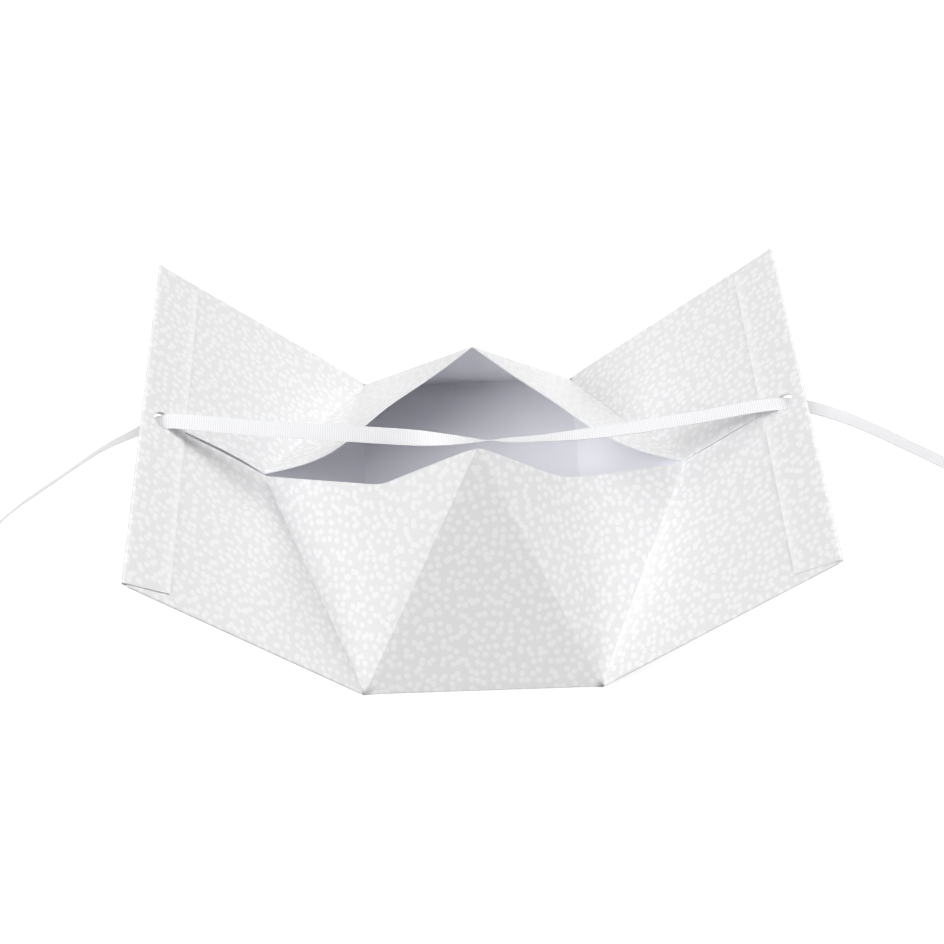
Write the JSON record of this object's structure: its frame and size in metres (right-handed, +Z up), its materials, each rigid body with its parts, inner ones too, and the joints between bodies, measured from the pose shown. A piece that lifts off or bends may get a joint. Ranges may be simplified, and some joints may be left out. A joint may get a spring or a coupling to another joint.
{
  "type": "foldable gift box",
  "caption": "Gift box folded from one sheet of dotted card, half open, with gusseted corners, two hemmed wings and a ribbon through them.",
  "frame": {"origin": "on the floor under the middle of the base", "axes": "+X to the right across the base from wing to wing, +Y from the front gable to the back gable, +Z up"},
  "size_m": [0.5015, 0.1816, 0.0862],
  "materials": {
    "printed_card": "matt board, pale grey with small white dots outside and plain white inside",
    "grosgrain_ribbon": "white ribbed ribbon with a slight sheen"
  },
  "bodies": {
    "root": {"folded_card": "printed_card", "ribbon": "grosgrain_ribbon"}
  },
  "joints": []
}
